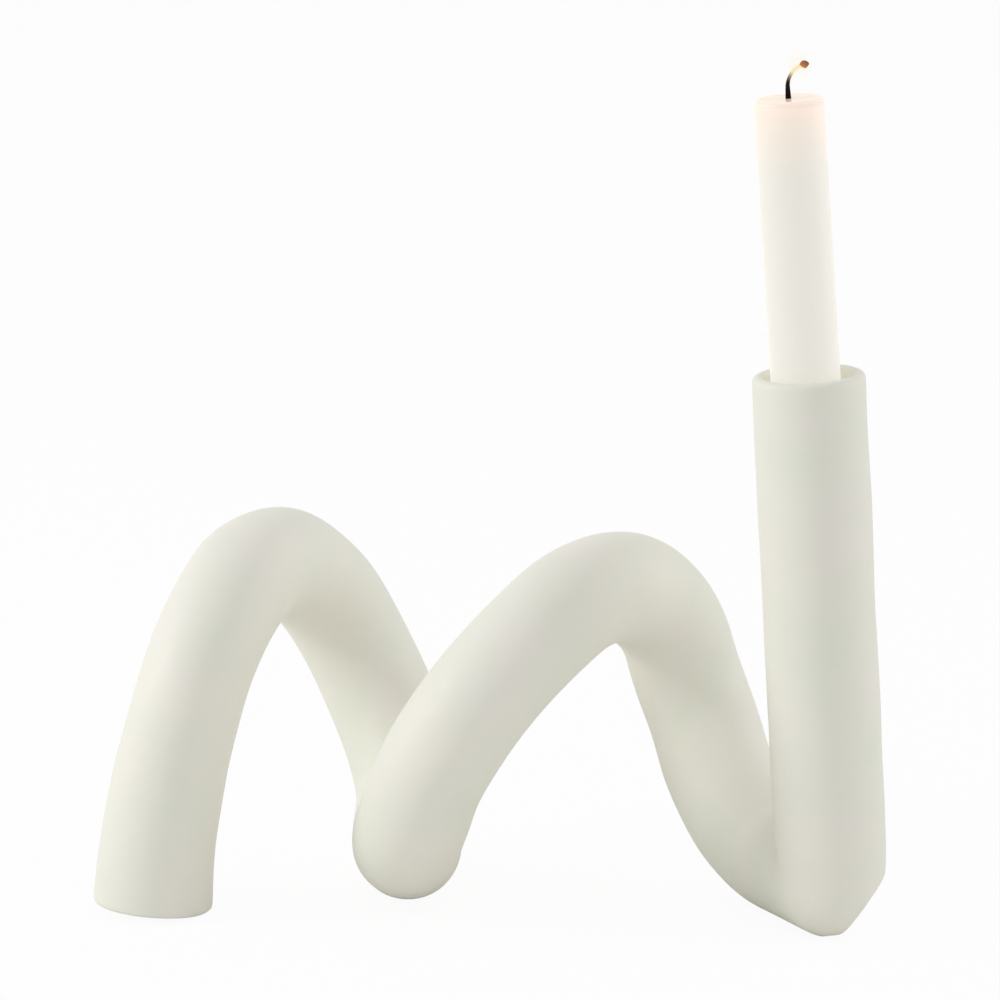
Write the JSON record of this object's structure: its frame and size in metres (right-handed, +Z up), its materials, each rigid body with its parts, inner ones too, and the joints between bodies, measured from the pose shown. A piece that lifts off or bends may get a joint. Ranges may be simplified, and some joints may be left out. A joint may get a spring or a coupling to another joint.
{
  "type": "spiral candle holder",
  "caption": "Table candle holder: a pale ceramic tube wound into an open coil lying on its side, whose end stands up as a socket for a stick candle.",
  "frame": {"origin": "middle of the bounding box, on the floor that the holder stands on", "axes": "+X along the coil's axis, from the cut foot to the upright; +Y from the front leg to the back; +Z up"},
  "size_m": [0.2491, 0.1238, 0.2769],
  "materials": {
    "fired_clay": "unglazed off-white stoneware, satin matt",
    "candle_wax": "pale stearin wax, soft sheen",
    "candle_wick": "braided cotton, burnt black at the tip"
  },
  "bodies": {
    "holder": {"ceramic_body": "fired_clay"},
    "candle": {"candle_wax": "candle_wax", "candle_wick": "candle_wick"}
  },
  "joints": [
    {"name": "candle_lift", "type": "slide", "parent": "holder", "child": "candle", "axis": [-0.0724, -0.0108, 0.9973], "range_m": [0, 0.175]}
  ]
}
